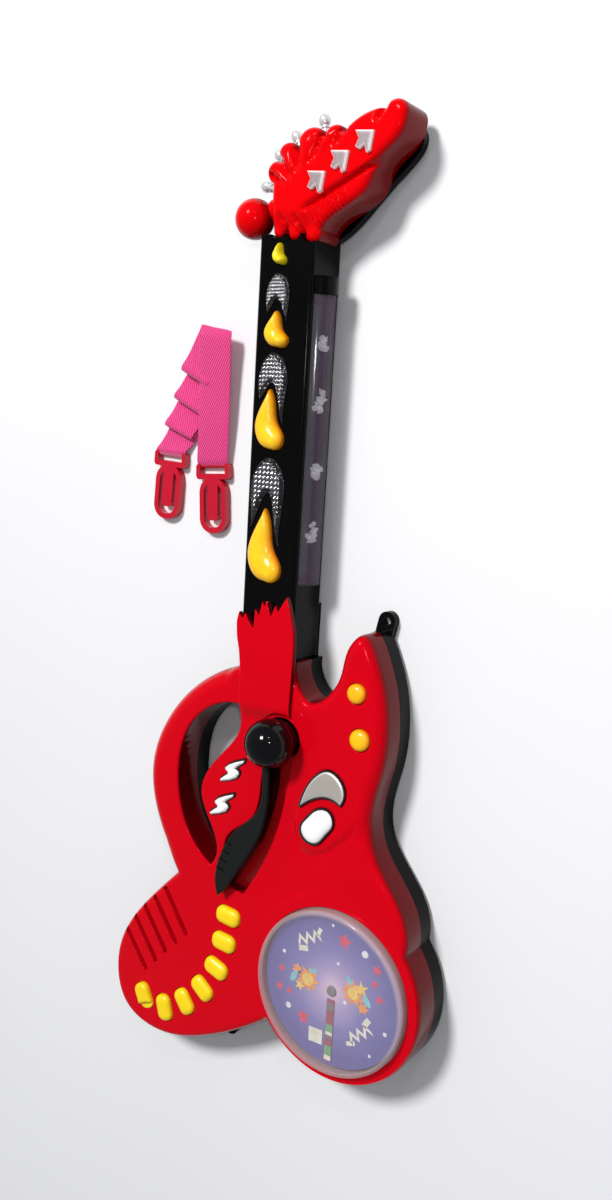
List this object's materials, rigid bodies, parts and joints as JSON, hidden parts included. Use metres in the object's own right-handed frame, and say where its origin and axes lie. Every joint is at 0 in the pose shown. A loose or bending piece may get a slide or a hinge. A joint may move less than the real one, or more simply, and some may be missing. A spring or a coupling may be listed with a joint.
{
  "type": "toy electric guitar",
  "caption": "Toy electric guitar with flame panel, press keys, spinning disc window, whammy lever, light tube on the neck and a webbing strap.",
  "frame": {"origin": "on the flat back, under the neck's axis, at the middle of the overall length", "axes": "+Z out of the face, +Y towards the headstock, +X to the right of the face"},
  "size_m": [0.2356, 0.575, 0.0606],
  "materials": {
    "red_shell": "glossy injection-moulded ABS",
    "black_shell": "glossy injection-moulded ABS",
    "clear_window": "clear polystyrene",
    "crystal": "clear faceted polystyrene",
    "silver_trim": "silver-painted ABS",
    "plated_trim": "vacuum-plated ABS with a scale texture",
    "pearl_button": "pearl white ABS",
    "yellow_key": "satin yellow ABS",
    "amber_key": "satin amber ABS",
    "lever_grey": "matte dark grey ABS",
    "knob_black": "glossy black ABS",
    "silicone_rubber": "matte silicone rubber",
    "circuit_board": "printed circuit board",
    "disc_print": "printed sheet",
    "strip_print": "printed strip",
    "hub_grey": "matte grey ABS",
    "steel": "nickel-plated steel",
    "speaker_paper": "paper cone",
    "cell_jacket": "printed cell jacket",
    "webbing": "ribbed polypropylene webbing",
    "clip_red": "glossy injection-moulded acetal",
    "wire_jacket": "PVC wire insulation"
  },
  "bodies": {
    "guitar": {"batteries": "cell_jacket", "battery_contacts": "steel", "battery_tray": "hub_grey", "body_back_shell": "black_shell", "body_front_shell": "red_shell", "button_board": "circuit_board", "case_screws": "steel", "disc_lens": "clear_window", "fin_trim": "silver_trim", "headstock_arrows": "silver_trim", "headstock_front_shell": "red_shell", "key_board": "circuit_board", "lever_spring": "steel", "light_board": "circuit_board", "light_crystals": "crystal", "light_tube_lens": "clear_window", "lightning_trims": "silver_trim", "motor_can": "steel", "neck_arch_trims": "plated_trim", "neck_back_shell": "black_shell", "neck_board": "circuit_board", "neck_front_shell": "black_shell", "rubber_domes": "silicone_rubber", "speaker_cone": "speaker_paper", "speaker_frame": "steel", "switch_housing": "hub_grey", "wiring": "wire_jacket"},
    "body_key_1": {"body_key_1": "yellow_key"},
    "body_key_2": {"body_key_2": "yellow_key"},
    "body_key_3": {"body_key_3": "yellow_key"},
    "body_key_4": {"body_key_4": "yellow_key"},
    "body_key_5": {"body_key_5": "yellow_key"},
    "body_key_6": {"body_key_6": "yellow_key"},
    "body_key_7": {"body_key_7": "yellow_key"},
    "neck_key_1": {"neck_key_1": "amber_key"},
    "neck_key_2": {"neck_key_2": "amber_key"},
    "neck_key_3": {"neck_key_3": "amber_key"},
    "neck_key_4": {"neck_key_4": "amber_key"},
    "round_button_1": {"round_button_1": "amber_key"},
    "round_button_2": {"round_button_2": "amber_key"},
    "oval_button": {"oval_button": "pearl_button"},
    "disc": {"spin_disc": "disc_print", "disc_strip": "strip_print", "disc_hub": "hub_grey", "motor_shaft": "steel"},
    "lever": {"whammy_lever": "lever_grey", "lever_knob": "knob_black", "lever_pivot": "steel"},
    "door": {"battery_door": "black_shell", "door_screw": "steel"},
    "power_slider": {"power_switch": "hub_grey"},
    "peg_1": {"tuning_peg_1": "plated_trim"},
    "peg_2": {"tuning_peg_2": "plated_trim"},
    "peg_3": {"tuning_peg_3": "plated_trim"},
    "peg_4": {"tuning_peg_4": "plated_trim"},
    "strap": {"strap_webbing": "webbing"},
    "clip_1": {"strap_clip_1": "clip_red"},
    "clip_2": {"strap_clip_2": "clip_red"}
  },
  "joints": [
    {"name": "body_key_1_press", "type": "slide", "parent": "guitar", "child": "body_key_1", "axis": [0, 0, -1], "range_m": [0, 0.0015], "stiffness_N_per_m": 300},
    {"name": "body_key_2_press", "type": "slide", "parent": "guitar", "child": "body_key_2", "axis": [0, 0, -1], "range_m": [0, 0.0015], "stiffness_N_per_m": 300},
    {"name": "body_key_3_press", "type": "slide", "parent": "guitar", "child": "body_key_3", "axis": [0, 0, -1], "range_m": [0, 0.0015], "stiffness_N_per_m": 300},
    {"name": "body_key_4_press", "type": "slide", "parent": "guitar", "child": "body_key_4", "axis": [0, 0, -1], "range_m": [0, 0.0015], "stiffness_N_per_m": 300},
    {"name": "body_key_5_press", "type": "slide", "parent": "guitar", "child": "body_key_5", "axis": [0, 0, -1], "range_m": [0, 0.0015], "stiffness_N_per_m": 300},
    {"name": "body_key_6_press", "type": "slide", "parent": "guitar", "child": "body_key_6", "axis": [0, 0, -1], "range_m": [0, 0.0015], "stiffness_N_per_m": 300},
    {"name": "body_key_7_press", "type": "slide", "parent": "guitar", "child": "body_key_7", "axis": [0, 0, -1], "range_m": [0, 0.0015], "stiffness_N_per_m": 300},
    {"name": "neck_key_1_press", "type": "slide", "parent": "guitar", "child": "neck_key_1", "axis": [0, 0, -1], "range_m": [0, 0.0015], "stiffness_N_per_m": 300},
    {"name": "neck_key_2_press", "type": "slide", "parent": "guitar", "child": "neck_key_2", "axis": [0, 0, -1], "range_m": [0, 0.0015], "stiffness_N_per_m": 300},
    {"name": "neck_key_3_press", "type": "slide", "parent": "guitar", "child": "neck_key_3", "axis": [0, 0, -1], "range_m": [0, 0.0015], "stiffness_N_per_m": 300},
    {"name": "neck_key_4_press", "type": "slide", "parent": "guitar", "child": "neck_key_4", "axis": [0, 0, -1], "range_m": [0, 0.0015], "stiffness_N_per_m": 300},
    {"name": "round_button_1_press", "type": "slide", "parent": "guitar", "child": "round_button_1", "axis": [0, 0, -1], "range_m": [0, 0.0015], "stiffness_N_per_m": 300},
    {"name": "round_button_2_press", "type": "slide", "parent": "guitar", "child": "round_button_2", "axis": [0, 0, -1], "range_m": [0, 0.0015], "stiffness_N_per_m": 300},
    {"name": "oval_button_press", "type": "slide", "parent": "guitar", "child": "oval_button", "axis": [0, 0, -1], "range_m": [0, 0.0015], "stiffness_N_per_m": 300},
    {"name": "disc_spin", "type": "hinge", "parent": "guitar", "child": "disc", "pos_m": [0.0621, -0.2105, 0.0326], "axis": [0, 0, 1], "continuous": true},
    {"name": "lever_swing", "type": "hinge", "parent": "guitar", "child": "lever", "pos_m": [0.016, -0.0664, 0.03], "axis": [0, 0, 1], "range_deg": [0, 7], "stiffness_Nm_per_rad": 0.5},
    {"name": "door_lift", "type": "slide", "parent": "guitar", "child": "door", "axis": [0, 0, -1], "range_m": [0, 0.03]},
    {"name": "power_slide", "type": "slide", "parent": "guitar", "child": "power_slider", "axis": [0, 1, 0], "range_m": [0, 0.003]},
    {"name": "peg_1_turn", "type": "hinge", "parent": "guitar", "child": "peg_1", "pos_m": [-0.0243, 0.251, 0.02], "axis": [-0.9659, 0.2588, 0], "continuous": true},
    {"name": "peg_2_turn", "type": "hinge", "parent": "guitar", "child": "peg_2", "pos_m": [-0.0162, 0.2676, 0.02], "axis": [-0.766, 0.6428, 0], "continuous": true},
    {"name": "peg_3_turn", "type": "hinge", "parent": "guitar", "child": "peg_3", "pos_m": [-0.0054, 0.2766, 0.02], "axis": [-0.4695, 0.8829, 0], "continuous": true},
    {"name": "peg_4_turn", "type": "hinge", "parent": "guitar", "child": "peg_4", "pos_m": [0.0126, 0.2835, 0.02], "axis": [-0.1736, 0.9848, 0], "continuous": true},
    {"name": "strap_lift", "type": "slide", "parent": "guitar", "child": "strap", "axis": [0, 0, 1], "range_m": [0, 0.1]},
    {"name": "clip_1_swing", "type": "hinge", "parent": "strap", "child": "clip_1", "pos_m": [-0.10267, 0.0942, 0.0025], "axis": [-0.9986, 0.0523, 0], "range_deg": [0, 60]},
    {"name": "clip_2_swing", "type": "hinge", "parent": "strap", "child": "clip_2", "pos_m": [-0.0677, 0.0886, 0.0025], "axis": [-0.9976, -0.0698, 0], "range_deg": [0, 60]}
  ]
}
